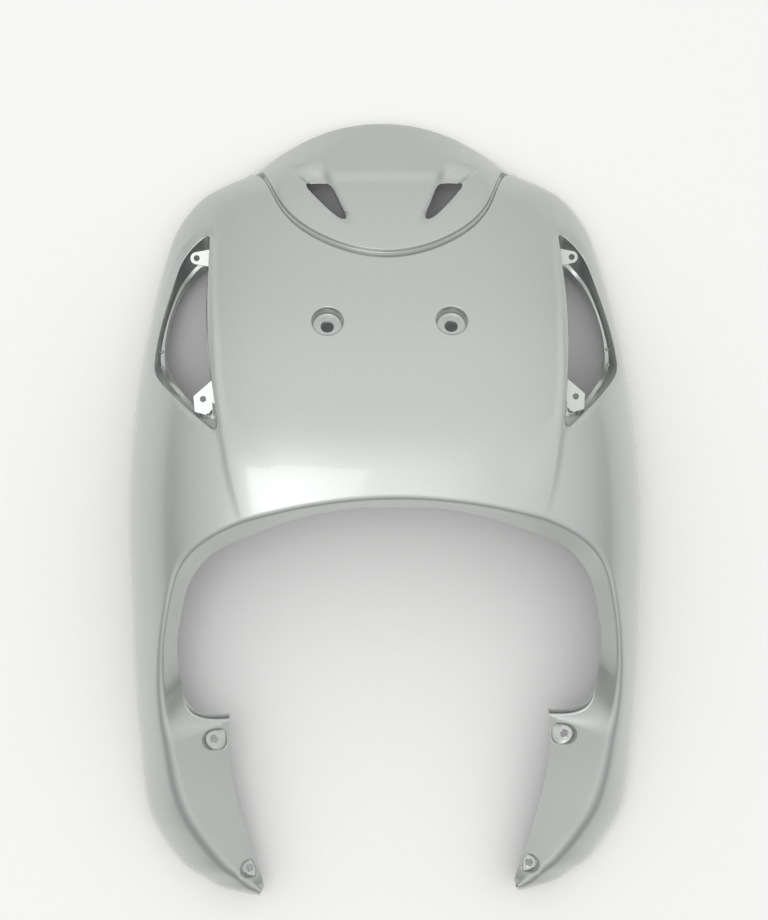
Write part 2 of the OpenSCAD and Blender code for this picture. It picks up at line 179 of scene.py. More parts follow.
def rounded(points, step, passes=2):
    """A closed outline cut smooth at its corners and walked in even steps."""
    p = np.array(points, float)
    for _ in range(passes):
        q = np.roll(p, -1, axis=0)
        p = np.stack([0.75 * p + 0.25 * q, 0.25 * p + 0.75 * q], 1).reshape(-1, p.shape[1])
    seg = np.linalg.norm(np.roll(p, -1, axis=0)[:, :2] - p[:, :2], axis=1)
    run = np.concatenate([[0], np.cumsum(seg)])
    n = max(8, int(round(run[-1] / step)))
    at = np.linspace(0, run[-1], n, endpoint=False)
    closed = np.vstack([p, p[:1]])
    return np.stack([np.interp(at, run, closed[:, c]) for c in range(p.shape[1])], 1)


print("points on a rounded square:", len(rounded([(0, 0), (9, 0), (9, 9), (0, 9)], 1.5)))

# %% [markdown]
# ## The lamp window's bevel
# The outer side of each lamp window is framed by a shallow sunk bevel. It could be a boolean cut,
# but that leaves long thin faces that spoil the lacquer, so it is taken off the height formula: its
# depth falls in a straight line away from the window's edge. Each point of the outline has its
# share of the bevel's width.

# %% Window outline and bevel
BEVEL_WIDTH, BEVEL_DEPTH = 7.0, 1.8
# edge in the skin, edge of the opening at the foot of the wall, share of the bevel's width
WINDOW = [((131.5, 206), (133, 181), 1), ((131.5, 198), (133, 178), 0), ((132, 177), (133, 170), 0),
          ((133, 154), (134, 150), 0), ((131.5, 118), (133, 118), 0), ((128.5, 92), (130, 96), 0),
          ((125, 68), (128.5, 75), 0), ((125, 57), (129.5, 70), 0.45), ((133, 63), (136.5, 72), 0.6),
          ((148, 76), (147, 83), 0.6), ((164, 91), (157, 95), 0.6), ((172, 101), (163, 104), 0.75),
          ((172, 113), (165, 116), 0.9), ((168.5, 134), (163, 134), 1), ((163, 153), (158, 151), 1),
          ((157, 172), (151, 165), 1), ((153, 184), (145, 172), 1), ((147, 193), (140, 178), 1),
          ((139, 201), (136, 180.5), 1)]
WINDOW_ROWS = rounded([(*w[0], *w[1], w[2]) for w in WINDOW], 1.5)
WINDOW_LOOP = WINDOW_ROWS[:, :2]


def bevel(x, y):
    near = (np.abs(x) > 112) & (y > 42) & (y < 222)
    drop = np.zeros(x.shape)
    d, at = distance(np.abs(x[near]), y[near], WINDOW_LOOP)
    shares = np.append(WINDOW_ROWS[:, 4], WINDOW_ROWS[0, 4])
    share = np.interp(at, np.arange(len(shares)), shares)
    reach = np.maximum(BEVEL_WIDTH * share, 0.01)
    drop[near] = BEVEL_DEPTH * np.minimum(1, share * 1.5) * np.clip(1 - d / reach, 0, 1)
    return drop


def skin_height(x, y):
    return base_height(x, y) + bead(x, y) - bevel(x, y)


def on_skin(v):
    return np.concatenate([v, skin_height(v[..., 0], v[..., 1])[..., None]], -1)


print("lamp window outline:", len(WINDOW_LOOP), "points")

# %% [markdown]
# ## Stations round the panel
# The arch's rolled edge, the flange under it and the leg plates are one skin on the real moulding,
# so one section is swept round them all. A station number runs from 0 at the middle of the arch to
# 16 at each leg tip. Each station holds only the four places that shape its section, and splines
# join them.

# %% Stations
# station: arch ridge, middle of the skin, outer line, free edge of the flange
STATIONS = [
    (0, (0, 8), (0, 96), (0, 184), (0, 2, 112)),
    (1, (31, 6.5), (38, 100), (45, 195), (30, 1.5, 112)),
    (2, (66, 2), (74, 110), (78, 223), (62, -4, 111)),
    (3, (90, -3), (103, 115), (97, 254), (85, -10.5, 109)),
    (4, (108, -7.5), (126, 100), (130, 240), (104, -18, 106)),
    (5, (128, -16.5), (150, 95), (156, 213), (124, -27, 100)),
    (6, (145, -29), (168, 70), (175, 154), (138, -39, 92)),
    (7, (155, -44), (178, 30), (187, 88), (148, -56, 83)),
    (8, (161, -65), (182, -20), (193, 20), (153, -76, 76)),
    (9, (166, -95), (183, -75), (193, -50), (156.5, -97, 69)),
    (10, (168, -130), (183, -125), (191, -110), (155, -122, 63)),
    (11, (166, -158), (181, -157), (190, -148), (143, -149, 60)),
    (12, (163.5, -172), (179, -174), (188, -170), (119.5, -152, 53)),
    (13, (157, -204), (174, -209), (186, -205), (118.5, -195, 45)),
    (14, (142, -240), (160, -248), (175, -245), (109, -238, 37)),
    (15, (118, -270), (130, -279), (145, -279), (99, -270, 31)),
    (16, (97, -287.5), (98.5, -291), (98.5, -294), (94.5, -285, 28)),
]
EDGE_TURN = [(10, (155, -122, 63)), (10.4, (152.8, -134.5, 61.5)), (10.7, (149, -143, 61)),
             (11, (143, -148.5, 60)), (11.4, (134, -151.5, 57.5)), (12, (119.5, -152, 53))]
EDGE_LEG = [(12, (119.6, -156.4, 52.2)), (13, (118.5, -195, 45)), (14, (109, -238, 37)),
            (15, (99, -270, 31)), (16, (94.5, -285, 28))]
RIM = [(-294, 9), (-275, 3), (-250, 0.4), (-200, 1), (-80, 3), (100, 2.5), (200, 0.4), (235, 1), (256, 3)]
rim_z = spline(RIM)
ridge_at = spline([(k[0], k[1]) for k in STATIONS], True)
mid_at = spline([(k[0], k[2]) for k in STATIONS], True)
outer_at = spline([(k[0], k[3]) for k in STATIONS], True)
edge_arch = spline([(k[0], k[4]) for k in STATIONS if k[0] < 10] + EDGE_TURN, True)
edge_leg = spline(EDGE_LEG)
print("stations:", len(STATIONS), "on the right half")

# %% [markdown]
# ## The free edge of the flange
# Down to the legs the flange ends in the arch's opening. At the top of each leg plate its edge
# turns inward under a rounded lip, so the sheet stops a little short there. The lip itself is a
# piece of its own, further down.

# %% Free edge
LIP_START, LIP_REACH, PLATE_FALL = 10.3, 4.4, 0.19


def lip_frame(s):
    """Along the top of a right leg plate: the lip's edge, the way into the plate, the lip's share."""
    p = edge_arch(s)
    t = unit(edge_arch(s + 0.01) - edge_arch(s - 0.01))
    inward = unit(np.stack([-t[..., 1], t[..., 0]], -1))
    return p, inward, smooth((s - LIP_START) / 0.7)[..., None]


def edge_at(s):
    a = np.abs(s)
    turn = np.stack([np.where(s < 0, -1, 1), np.ones_like(s), np.ones_like(s)], -1)
    p, inward, share = lip_frame(np.clip(a, LIP_START, 12))
    reach = LIP_REACH * share
    behind = np.concatenate([p[:, :2] + inward * reach, p[:, 2:] - PLATE_FALL * reach], -1)
    a = a[:, None]
    right = np.where(a < LIP_START, edge_arch(a[:, 0]), np.where(a <= 12, behind, edge_leg(a[:, 0])))
    return right * turn


print("free edge at the middle of the arch:", edge_at(np.zeros(1))[0].round(1))

# %% [markdown]
# ## One section
# Each section runs from the foot of the rim, over the skin, round the rolled edge and down the
# flange. A swept curve object could not change its shape so freely along the way, so the rows are
# worked out as arrays, with the points closest together where the surface turns.

# %% Section of the shell
RIM_COLS, SKIN_COLS, ROLL_COLS, FLANGE_COLS = 5, 40, 8, 15
# how far the rim leans in over its height
RIM_LEAN = 2.5


def section(s):
    """Rows of the grid at stations s, each from the rim's foot to the flange's free edge."""
    sgn = np.sign(s) + (s == 0)
    r, m, b, e = ridge_at(s), mid_at(s), outer_at(s), edge_at(s)
    b[..., 0] += (sgn * wide(b[..., 1]) - b[..., 0]) * smooth((np.abs(s) - CORNER) / 0.4)
    side = smooth((np.abs(s) - 2) / 2)[:, None]
    e0 = np.clip(ROLL / np.maximum(np.linalg.norm(b - r, axis=1), 1), 0.02, 0.4)[:, None]

    def along(g):
        g = g[..., None]
        near, centre = r[:, None] * (1 - g) * (1 - 2 * g), m[:, None] * 4 * g * (1 - g)
        return near + centre + b[:, None] * g * (2 * g - 1)

    t = 1 - np.linspace(0, 1, SKIN_COLS + 1)[None, :]
    a = t * (1 - side) + np.sin(math.pi / 2 * t) * side
    skin = on_skin(along(e0 + (1 - e0) * a))
    k = on_skin(r)
    f = k + (e - k) * np.minimum(0.5, ROLL / np.linalg.norm(e - k, axis=1))[:, None]
    t = (np.arange(1, ROLL_COLS + 1) / ROLL_COLS)[None, :, None]
    p0 = skin[:, -1:]
    rolled = p0 * (1 - t) ** 2 + k[:, None] * 2 * t * (1 - t) + f[:, None] * t ** 2
    t = (1 - (1 - np.arange(1, FLANGE_COLS + 1) / FLANGE_COLS) ** 1.5)[None, :, None]
    flange = f[:, None] + (e - f)[:, None] * t
    n = unit(b - m)
    top, foot = belt(b[:, 1]), rim_z(b[:, 1])
    t = (1 - np.arange(RIM_COLS) / RIM_COLS)[None, :]
    lean = RIM_LEAN * t * t
    rim = np.stack([b[:, None, 0] - n[:, None, 0] * lean, b[:, None, 1] - n[:, None, 1] * lean,
                    top[:, None] + (foot - top)[:, None] * t], -1)
    middle = np.abs(s) < CORNER
    step = skin[middle, :1] - skin[middle, 1:2]
    rim[middle] = skin[middle, :1] + step * np.arange(RIM_COLS, 0, -1)[None, :, None]
    return np.concatenate([rim, skin, rolled, flange], 1)


print("points in a section:", section(np.zeros(1)).shape[1])

# %% [markdown]
# ## The dome
# The dome at the head of the panel is its own lens of skin, with a groove round its foot. Two
# scoops fall from the brow into the vents, leaving a ridge between them. Each is a smooth step or
# ramp subtracted from the lens, because the real scoops fade out with no edge at their upper ends.

# %% Scoops and brow
SCOOP_DEPTH, BROW_RISE = 5.0, 1.9
DOME_TOP = [(0, (0, 294)), (1, (38, 288.5)), (2, (73, 272.5)), (3, (97, 254.5))]
BROW = [(33, 268), (49, 266), (63, 262), (70, 261), (76, 257)]
SILL = [(58, 243), (63, 247), (72, 254), (76, 257)]
NASAL = [(204, 23), (226, 28), (234, 32), (247, 37), (268, 44)]
dome_top_at = spline(DOME_TOP, True)
brow_at, nasal_at = spline(BROW), spline(NASAL)


def top_at(s):
    t = dome_top_at(s)
    return np.concatenate([t, (6 + 5 * (s / CORNER) ** 2)[..., None]], -1)


def scoop(x, y):
    a = np.abs(x)
    fall = smooth((brow_at(a) - y) / 20)
    side = smooth((a - nasal_at(y)) / 9)
    sill = np.interp(a, [k[0] for k in SILL], [k[1] for k in SILL])
    low = smooth((59.5 - a - (243 - y) * 1.02) / 4 + 0.7)
    past = np.where(a > 58, smooth((y - sill) / 4), low)
    return np.where((y < 204) | (a > 76), 0, SCOOP_DEPTH * fall * side * past * smooth((y - 204) / 16))


def brow(x, y):
    edge = 50 + 16 * smooth((y - 246) / 16)
    return BROW_RISE * smooth((edge - np.abs(x)) / 7) * smooth((y - 244) / 10)


print("scoop depth above a vent: %.1f mm" % scoop(np.array(50.0), np.array(246.0)))

# %% [markdown]
# ## The groove and the dome's rows
# The groove is a narrow shut line drawn as a profile across it. It could be a dark stripe in the
# paint, but real depth shades itself from every side. Towards the dome's corners the profile
# shrinks with the gap between hood and edge, so it runs out to nothing.

# %% Section of the dome
DOME_PROUD, DOME_BULGE, DOME_LIP = 1.2, 5.0, 5.0
GROOVE_WIDTH = 5.2
# distance across the groove from the hood, and height against the skin
GROOVE_PROFILE = [(0.0, 0.0), (0.45, -0.08), (0.85, -0.35), (1.2, -0.95), (1.5, -1.8), (1.85, -2.5),
                  (2.3, -2.85), (3.0, -2.95), (4.2, -2.95), (4.8, -2.8), (5.2, -2.3), (5.5, -1.4),
                  (5.8, -0.4), (6.15, 0.4), (6.6, 0.9)]
DOME_COLS = 56
# the lip under the top edge: share of the width, how far back and how far down
LIP_STEPS = [(0.999, 0.25, 0.35), (0.997, 0.7, 1.2), (0.996, 1.1, 2.6), (0.996, 1.2, DOME_LIP)]


def dome_section(s):
    """Rows of the dome at stations s, each from the groove's outer edge to the lip of the top edge."""
    b, t = outer_at(s), top_at(s)
    gap = np.linalg.norm(t[:, :2] - b, axis=1)
    c = np.clip(gap / 45, 0.03, 1)[:, None]
    wide_here = np.clip(gap / 11, 0.03, 1)[:, None]
    n = unit(t[:, :2] - b + [0, 0.01])
    d, z = np.array(GROOVE_PROFILE).T
    xy = b[:, None] + n[:, None] * (d[None] * wide_here)[..., None]
    zz = base_height(xy[..., 0], xy[..., 1]) + z[None] * wide_here
    groove = np.concatenate([xy, zz[..., None]], -1)
    xy = b + n * (GROOVE_WIDTH + 1.8) * wide_here
    a = np.concatenate([xy, (base_height(xy[:, 0], xy[:, 1]) + DOME_PROUD * wide_here[:, 0])[:, None]], -1)
    w = np.linspace(0, 1, DOME_COLS + 1)[None, :, None]
    dome = a[:, None] + (t - a)[:, None] * w
    x, y = dome[..., 0], dome[..., 1]
    dome[..., 2] += DOME_BULGE * c * 4 * w[..., 0] * (1 - w[..., 0]) - scoop(x, y) + brow(x, y) * c
    x, y, z = np.split(t[:, None], 3, axis=-1)
    c = c[:, None]
    lips = [np.concatenate([x * k, y - back * c, z - down * (0.3 + 0.7 * c)], -1)
            for k, back, down in LIP_STEPS]
    return np.concatenate([groove, dome, *lips], 1)


print("points in a section of the dome:", dome_section(np.zeros(1)).shape[1])

# %% [markdown]
# ## Cutting rings into a grid
# Holes in a painted moulding have rounded edges that catch a thin bright line. A boolean would
# break the grid's flow and leave its edge sharp, so only the cells within a few millimetres of a
# hole are opened. They are filled again by a constrained triangulation, which follows rings laid
# round the hole.

# %% What to keep of a triangulation
# the smallest patch worth filling, in square millimetres
SLIVER = 0.5


def fill_between(made, outer, hole):
    """Which triangles fill the gap from the opened cells' outline to the hole, judged patch by patch."""
    verts, lines, tris, _, line_source = made[:5]
    solid = len(outer) + len(hole)
    walls = {frozenset(e) for e, src in zip(lines, line_source) if any(k < solid for k in src)}
    flat = np.array([v[:] for v in verts])
    corners = flat[np.array(tris)]
    mid = corners.mean(1)
    u, v = corners[:, 1] - corners[:, 0], corners[:, 2] - corners[:, 0]
    area = np.abs(u[:, 0] * v[:, 1] - u[:, 1] * v[:, 0]) / 2
    cross = np.zeros(len(mid), bool)
    for (x0, y0), (x1, y1) in outer:
        if y0 != y1:
            hit = (y0 > mid[:, 1]) != (y1 > mid[:, 1])
            cross ^= hit & (mid[:, 0] < (x1 - x0) * (mid[:, 1] - y0) / (y1 - y0) + x0)
    cross &= ~inside(mid[:, 0], mid[:, 1], hole)
    shared = {}
    for k, f in enumerate(tris):
        for a, b in zip(f, f[1:] + f[:1]):
            if frozenset((a, b)) not in walls:
                shared.setdefault(frozenset((a, b)), []).append(k)
    beside = [[] for _ in tris]
    for pair in shared.values():
        if len(pair) == 2:
            beside[pair[0]].append(pair[1])
            beside[pair[1]].append(pair[0])
    keep, seen = np.zeros(len(tris), bool), np.zeros(len(tris), bool)
    for first in range(len(tris)):
        if seen[first]:
            continue
        patch, todo = [], [first]
        seen[first] = True
        while todo:
            k = todo.pop()
            patch.append(k)
            for j in beside[k]:
                if not seen[j]:
                    seen[j] = True
                    todo.append(j)
        total = area[patch].sum()
        keep[patch] = total > SLIVER and (area[patch] * cross[patch]).sum() > total / 2
    return keep


print("patches under %.1f square mm are left out" % SLIVER)

# %% A grid that can be pierced
class Skin:
    """Points, normals and faces of one side of the shell."""

    def __init__(self, grid, flip=False, keep=None):
        self.rows, self.cols = grid.shape[:2]
        self.points = grid.reshape(-1, 3)
        du, dv = np.gradient(grid, axis=0), np.gradient(grid, axis=1)
        n = unit(np.cross(dv, du) if flip else np.cross(du, dv)).reshape(-1, 3)
        self.shade, self.offset = n.copy(), n.copy()
        i, j = np.meshgrid(np.arange(self.rows - 1), np.arange(self.cols - 1), indexing="ij")
        a = (i * self.cols + j).ravel()
        quad = np.stack([a, a + self.cols, a + self.cols + 1, a + 1], 1)
        self.quads = quad[:, ::-1] if flip else quad
        self.cell_live = np.ones(len(quad), bool) if keep is None else keep[i.ravel(), j.ravel()]
        self.tris = []

    def pierce(self, rings, shades, offsets, band):
        """Opens the cells near the outermost ring and fills up to the innermost one, which is the hole."""
        hole, rim = rings[0][:, :2], rings[-1][:, :2]
        lo, hi = rim.min(0) - band - 12, rim.max(0) + band + 12
        x, y = self.points[:, 0], self.points[:, 1]
        near = (x > lo[0]) & (x < hi[0]) & (y > lo[1]) & (y < hi[1])
        gone = np.zeros(len(x), bool)
        d, _ = distance(x[near], y[near], rim)
        gone[near] = (d < band) | inside(x[near], y[near], rim)
        opened = self.cell_live & gone[self.quads].any(1)
        self.cell_live &= ~opened
        edges = {}
        for q in self.quads[opened]:
            for a, b in zip(q, np.roll(q, -1)):
                if (b, a) in edges:
                    del edges[(b, a)]
                else:
                    edges[(a, b)] = True
        ids = sorted({v for e in edges for v in e})
        local = {v: k for k, v in enumerate(ids)}
        pts = [Vector(self.points[v][:2]) for v in ids]
        cons = [(local[a], local[b]) for a, b in edges]
        start = len(self.points)
        for ring in rings:
            first = len(pts)
            n = len(ring)
            pts += [Vector(p[:2]) for p in ring]
            cons += [(first + k, first + (k + 1) % n) for k in range(n)]
        made = delaunay_2d_cdt(pts, cons, [], 0, 1e-7)
        keep = fill_between(made, [(self.points[a][:2], self.points[b][:2]) for a, b in edges], hole)
        place = {}
        for out, src in enumerate(made[3]):
            if not src:
                raise ValueError("rings cross the grid near (%.1f, %.1f)" % tuple(made[0][out]))
            k = src[0]
            place[out] = ids[k] if k < len(ids) else start + k - len(ids)
        for f, k in zip(made[2], keep):
            if k:
                self.tris.append(tuple(place[v] for v in f))
        self.points = np.vstack([self.points, *rings])
        self.shade = np.vstack([self.shade, *shades])
        self.offset = np.vstack([self.offset, *offsets])

    def faces(self):
        return [tuple(q) for q in self.quads[self.cell_live]] + self.tris


print("cells between three sections:", len(Skin(section(np.arange(3.0))).faces()))

# %% [markdown]
# ## From a skin to a piece
# A moulded wall has one thickness. A Solidify modifier would tear at the corners of the dome, so
# the back is offset here along chosen directions and bridged at the open edges. The front gets the
# skin's exact normals, so the lacquer reflects the formula and not the facets.

# %% Wall and mesh
def thicken(points, offset, shade, faces):
    """A closed shell from one side: the other side is offset along the normals, and its edges are bridged."""
    n = len(points)
    back = points - offset * WALL
    edges = {}
    for f in faces:
        for a, b in zip(f, f[1:] + f[:1]):
            if edges.pop((b, a), None) is None:
                edges[(a, b)] = True
    bridge = [(b, a, a + n, b + n) for a, b in edges]
    rear = [tuple(v + n for v in reversed(f)) for f in faces]
    return np.vstack([points, back]), np.vstack([shade, -offset]), faces, rear, bridge


def build(name, points, faces, shade=None, smooth_faces=0, materials=(), indices=None):
    """A mesh object in metres; the first smooth_faces faces are shaded with the given normals."""
    used = sorted({v for f in faces for v in f})
    remap = {v: k for k, v in enumerate(used)}
    mesh = bpy.data.meshes.new(name)
    mesh.from_pydata([tuple(points[v] * MM) for v in used], [], [tuple(remap[v] for v in f) for f in faces])
    for m in materials:
        mesh.materials.append(m)
    if indices is not None:
        mesh.polygons.foreach_set("material_index", indices)
    mesh.polygons.foreach_set("use_smooth", [True] * len(mesh.polygons))
    if shade is not None:
        mesh.update()
        loops = np.zeros((len(mesh.loops), 3), np.float32)
        at = 0
        for k, f in enumerate(faces):
            flat = mesh.polygons[k].normal if k >= smooth_faces else None
            for v in f:
                loops[at] = shade[v] if flat is None else flat
                at += 1
        mesh.normals_split_custom_set([tuple(v) for v in loops])
    obj = bpy.data.objects.new(name, mesh)
    bpy.context.scene.collection.objects.link(obj)
    return obj


lone = thicken(np.eye(3), np.eye(3), np.eye(3), [(0, 1, 2)])
print("a lone triangle becomes", sum(len(part) for part in lone[2:]), "faces")

# %% [markdown]
# ## The surface of metallic paint
# Silver scooter paint is a base full of fine flakes under clear lacquer. The flakes lie at slightly
# different angles, which spreads the highlight and gives a fine grain, and the lacquer has a faint
# orange peel. Both are noise that tilts the normal, built once as a node group.

# %% Paint surface group
def node_maker(tree):
    def add(kind, **settings):
        n = tree.nodes.new(kind)
        for k, v in settings.items():
            setattr(n, k, v)
        return n
    return add


def flake_group():
    """Noise that tilts the normal: fine flakes over a faint orange peel."""
    g = bpy.data.node_groups.new("paint_surface", "ShaderNodeTree")
    g.interface.new_socket("Peel", in_out="INPUT", socket_type="NodeSocketFloat").default_value = 0.006
    g.interface.new_socket("Flake", in_out="INPUT", socket_type="NodeSocketFloat").default_value = 0.06
    g.interface.new_socket("Base Normal", in_out="OUTPUT", socket_type="NodeSocketVector")
    g.interface.new_socket("Coat Normal", in_out="OUTPUT", socket_type="NodeSocketVector")
    g.interface.new_socket("Sparkle", in_out="OUTPUT", socket_type="NodeSocketFloat")
    add, link = node_maker(g), g.links.new
    gi, go = add("NodeGroupInput"), add("NodeGroupOutput")
    pos = add("ShaderNodeTexCoord")
    peel = add("ShaderNodeTexNoise")
    peel.inputs["Scale"].default_value = 260
    peel.inputs["Detail"].default_value = 1
    link(pos.outputs["Object"], peel.inputs["Vector"])
    coat = add("ShaderNodeBump")
    coat.inputs["Distance"].default_value = 0.0002
    link(gi.outputs["Peel"], coat.inputs["Strength"])
    link(peel.outputs["Fac"], coat.inputs["Height"])
    flake = add("ShaderNodeTexVoronoi")
    flake.inputs["Scale"].default_value = 2400
    link(pos.outputs["Object"], flake.inputs["Vector"])
    base = add("ShaderNodeBump")
    base.inputs["Distance"].default_value = 0.0004
    link(gi.outputs["Flake"], base.inputs["Strength"])
    link(flake.outputs["Distance"], base.inputs["Height"])
    link(coat.outputs["Normal"], base.inputs["Normal"])
    link(base.outputs["Normal"], go.inputs["Base Normal"])
    link(coat.outputs["Normal"], go.inputs["Coat Normal"])
    link(flake.outputs["Color"], go.inputs["Sparkle"])
    return g


paint_surface = flake_group()
print(paint_surface.name, "has", len(paint_surface.nodes), "nodes")

# %% [markdown]
# ## Silver paint
# A grey plastic shader would look flat here, because silver paint darkens and brightens with the
# angle. So the base is nearly metallic with a broad highlight, and the shader's own clear coat
# gives the sharp reflections over it. The flakes also vary the base colour a little.

# %% Silver paint
def new_material(name):
    m = bpy.data.materials.new(name)
    m.use_nodes = True
    return m, m.node_tree, m.node_tree.nodes["Principled BSDF"]


def silver_paint(surface):
    m, tree, bsdf = new_material("silver_paint")
    add, link = node_maker(tree), tree.links.new
    bsdf.inputs["Metallic"].default_value = 0.9
    bsdf.inputs["Roughness"].default_value = 0.36
    bsdf.inputs["Coat Weight"].default_value = 1.0
    bsdf.inputs["Coat Roughness"].default_value = 0.06
    bsdf.inputs["Coat IOR"].default_value = 1.5
    s = add("ShaderNodeGroup", node_tree=surface)
    ramp = add("ShaderNodeMix", data_type="RGBA")
    ramp.inputs[6].default_value = (0.475, 0.5, 0.48, 1)
    ramp.inputs[7].default_value = (0.525, 0.55, 0.53, 1)
    link(s.outputs["Sparkle"], ramp.inputs[0])
    link(ramp.outputs[2], bsdf.inputs["Base Color"])
    link(s.outputs["Base Normal"], bsdf.inputs["Normal"])
    link(s.outputs["Coat Normal"], bsdf.inputs["Coat Normal"])
    return m


PAINT = silver_paint(paint_surface)
print("made", PAINT.name)

# %% [markdown]
# ## Bare moulded plastic
# The inside of the shell is never painted. It is grey plastic with a fine grain from the mould and
# a slight mottle, which two noises give.

# %% Bare inside
def raw_plastic():
    m, tree, bsdf = new_material("moulded_inside")
    add, link = node_maker(tree), tree.links.new
    bsdf.inputs["Roughness"].default_value = 0.55
    pos, noise = add("ShaderNodeTexCoord"), add("ShaderNodeTexNoise")
    noise.inputs["Scale"].default_value = 18
    noise.inputs["Detail"].default_value = 3
    link(pos.outputs["Object"], noise.inputs["Vector"])
    mix = add("ShaderNodeMix", data_type="RGBA")
    mix.inputs[6].default_value = (0.13, 0.14, 0.15, 1)
    mix.inputs[7].default_value = (0.2, 0.21, 0.215, 1)
    link(noise.outputs["Fac"], mix.inputs[0])
    link(mix.outputs[2], bsdf.inputs["Base Color"])
    grain, bump = add("ShaderNodeTexNoise"), add("ShaderNodeBump")
    grain.inputs["Scale"].default_value = 900
    bump.inputs["Strength"].default_value = 0.15
    bump.inputs["Distance"].default_value = 0.0003
    link(pos.outputs["Object"], grain.inputs["Vector"])
    link(grain.outputs["Fac"], bump.inputs["Height"])
    link(bump.outputs["Normal"], bsdf.inputs["Normal"])
    return m


INSIDE = raw_plastic()
print("made", INSIDE.name)

# %% [markdown]
# ## The grid of the shell
# The rows are close together where the outline turns and further apart where it runs straight,
# which keeps the reflections clean without a heavy mesh. Between the two corners of the dome the
# grid has no rim, because the dome closes it there.

# %% Grid of the shell
def stations():
    cuts = [(0, 3, 50), (3, 4, 22), (4, 5, 14), (5, 8, 50), (8, 10.4, 30), (10.4, 12, 38), (12, 13, 14),
            (13, 16, 54)]
    half = np.concatenate([np.linspace(a, b, n, endpoint=False) for a, b, n in cuts] + [[16.0]])
    return np.concatenate([-half[:0:-1], half])


shell_rows = stations()
shell_grid = section(shell_rows)
between = np.abs(shell_rows[1:] + shell_rows[:-1]) / 2
live = np.ones((len(shell_rows) - 1, shell_grid.shape[1] - 1), bool)
live[between < CORNER, :RIM_COLS] = False
shell = Skin(shell_grid, flip=True, keep=live)
# the rim starts at the dome's corner, so its first row takes the normals of the row beside it
right_end, left_end = np.flatnonzero(shell_rows >= CORNER)[0], np.flatnonzero(shell_rows <= -CORNER)[-1]
for row, beside in ((right_end, 1), (left_end, -1)):
    ids = row * shell.cols + np.arange(RIM_COLS + 1)
    for normals in (shell.shade, shell.offset):
        normals[ids] = normals[ids + beside * 2 * shell.cols]
print("shell rows", shell.rows, "columns", shell.cols)

# %% [markdown]
# ## Rings round a hole
# An edge that is rounded over is drawn as a few rings, each a little further out and higher than
# the last. Their normals turn with the round, so even a small radius shines as a line. The same
# rings carry the direction in which the wall is thickened.

# %% Edge rings
EDGE_ROUND = 0.9
RING_STEPS = (0, 0.12, 0.3, 0.55, 0.9)


def ring_out(loop, d):
    """A closed loop moved outward by d, for a loop that runs anticlockwise."""
    t = unit(np.roll(loop, -1, axis=0) - np.roll(loop, 1, axis=0))
    return loop + np.stack([t[:, 1], -t[:, 0]], 1) * d


def slope_normal(fn, x, y, h=0.05):
    gx = (fn(x + h, y) - fn(x - h, y)) / (2 * h)
    gy = (fn(x, y + h) - fn(x, y - h)) / (2 * h)
    return unit(np.stack([-gx, -gy, np.ones_like(gx)], -1))


def edge_rings(loop, height, radius, steps):
    """Rings round a hole whose edge is rounded over: the points, shading normals and wall directions."""
    rings, shades, offsets = [], [], []
    t = unit(np.roll(loop, -1, axis=0) - np.roll(loop, 1, axis=0))
    out = np.stack([t[:, 1], -t[:, 0], np.zeros(len(t))], 1)
    for d in steps:
        p = loop + out[:, :2] * d
        n = slope_normal(height, p[:, 0], p[:, 1])
        d = float(np.max(d))
        k = max(0.0, 1 - d / radius)
        drop = radius * (1 - math.sqrt(max(0.0, 1 - k * k)))
        z = height(p[:, 0], p[:, 1]) - drop / np.maximum(n[:, 2], 0.4)
        side = unit(-out - n * np.sum(-out * n, 1, keepdims=True))
        rings.append(np.column_stack([p, z]))
        shades.append(unit(n * math.sqrt(max(0.0, 1 - k * k)) + side * k))
        offsets.append(unit([0, 0, 1] - out * 0.35 + n * min(d, 3)))
    return rings, shades, offsets


def flipped(cut):
    """The same rings on the left half."""
    turn = np.array([-1, 1, 1])
    return tuple([a[::-1] * turn for a in part] for part in cut)


print("rings in a plain edge:", len(RING_STEPS))

# %% [markdown]
# ## Lofted pieces
# Cups, seats, pockets and pips are all wells or domes with rings of equal length, so one loft makes
# them. Sharp edges are marked by angle, and the rest is shaded smooth.

# %% Lofts
def loft(name, rows, material, sharp=40):
    """A closed piece lofted through rings of equal length; its last ring joins its first."""
    n, m = len(rows[0]), len(rows)
    pts = np.vstack(rows)
    faces = []
    for r in range(m):
        q = (r + 1) % m
        for i in range(n):
            j = (i + 1) % n
            faces.append((r * n + i, q * n + i, q * n + j, r * n + j))
    obj = build(name, pts, faces, materials=[material])
    obj.data.set_sharp_from_angle(angle=math.radians(sharp))
    return obj


def finish_piece(obj):
    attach(obj, "root")
    return obj


def mirror_rows(rows):
    return [r[::-1] * [-1, 1, 1] for r in rows]


print("a mirrored row starts at", mirror_rows([np.array([(1, 2, 3), (4, 5, 6)])])[0][0])

# %% [markdown]
# ## Screw cups
# Two round cups in the hood hold the screws that fix the panel. Each is a recess square to the
# sloping hood, with a thick floor and a clearance hole. Its mouth is rounded over, so the outline
# of the cup is cut into the skin as rings and the cup is lofted down from the first one.

# %% Cup rings
CUP_X, CUP_Y, CUP_BORE, CUP_DEPTH, CUP_TILT, CUP_HOLE = 45.0, 136.5, 22.6, 8.0, 26.0, 9.0
tilt = math.radians(CUP_TILT)
CUP_AXIS = np.array([0, math.sin(tilt), math.cos(tilt)])
CUP_SIDE = np.array([0, math.cos(tilt), -math.sin(tilt)])
CUP_CENTRE = np.array([CUP_X, CUP_Y, float(skin_height(np.array(CUP_X), np.array(CUP_Y)))])
TURN = np.linspace(0, 2 * math.pi, 96, endpoint=False)


